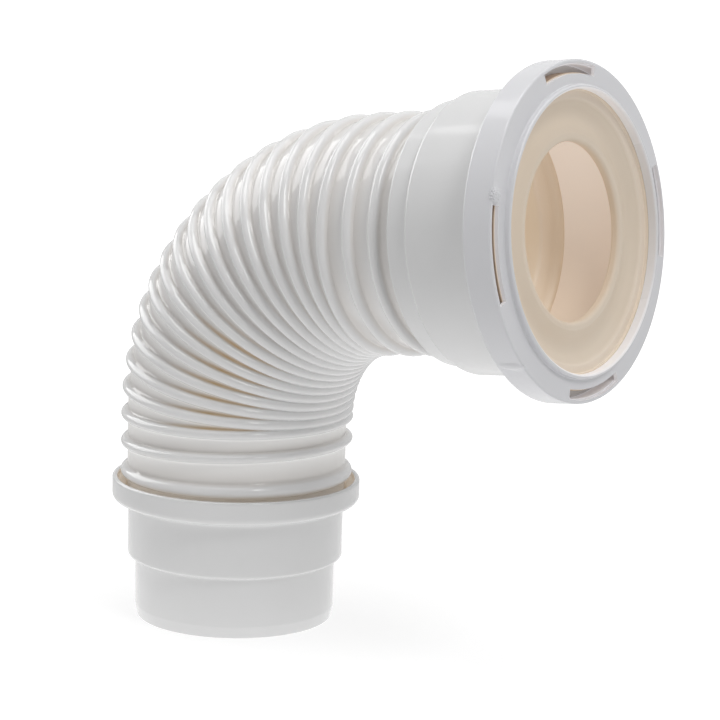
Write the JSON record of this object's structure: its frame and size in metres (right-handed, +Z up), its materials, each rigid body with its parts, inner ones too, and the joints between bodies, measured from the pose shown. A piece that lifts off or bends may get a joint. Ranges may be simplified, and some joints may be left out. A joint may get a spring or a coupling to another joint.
{
  "type": "toilet pan connector",
  "caption": "Bent, ribbed hose with a stepped push-in outlet spigot at one end and a rubber-sealed socket for a toilet pan outlet at the other.",
  "frame": {"origin": "on the outlet spigot's axis, level with the underside of its collar, where a drain socket stops", "axes": "+Z up along the spigot's axis, away from the drain; +X towards the toilet pan; the bend lies in XZ"},
  "size_m": [0.2467, 0.1442, 0.2694],
  "materials": {
    "white_plastic": "moulded gloss",
    "hose_plastic": "blown gloss",
    "seal_rubber": "satin"
  },
  "bodies": {
    "root": {"outlet_spigot": "white_plastic", "flexible_hose": "hose_plastic", "pan_socket": "white_plastic", "lip_seal": "seal_rubber", "seal_cap": "white_plastic"}
  },
  "joints": []
}
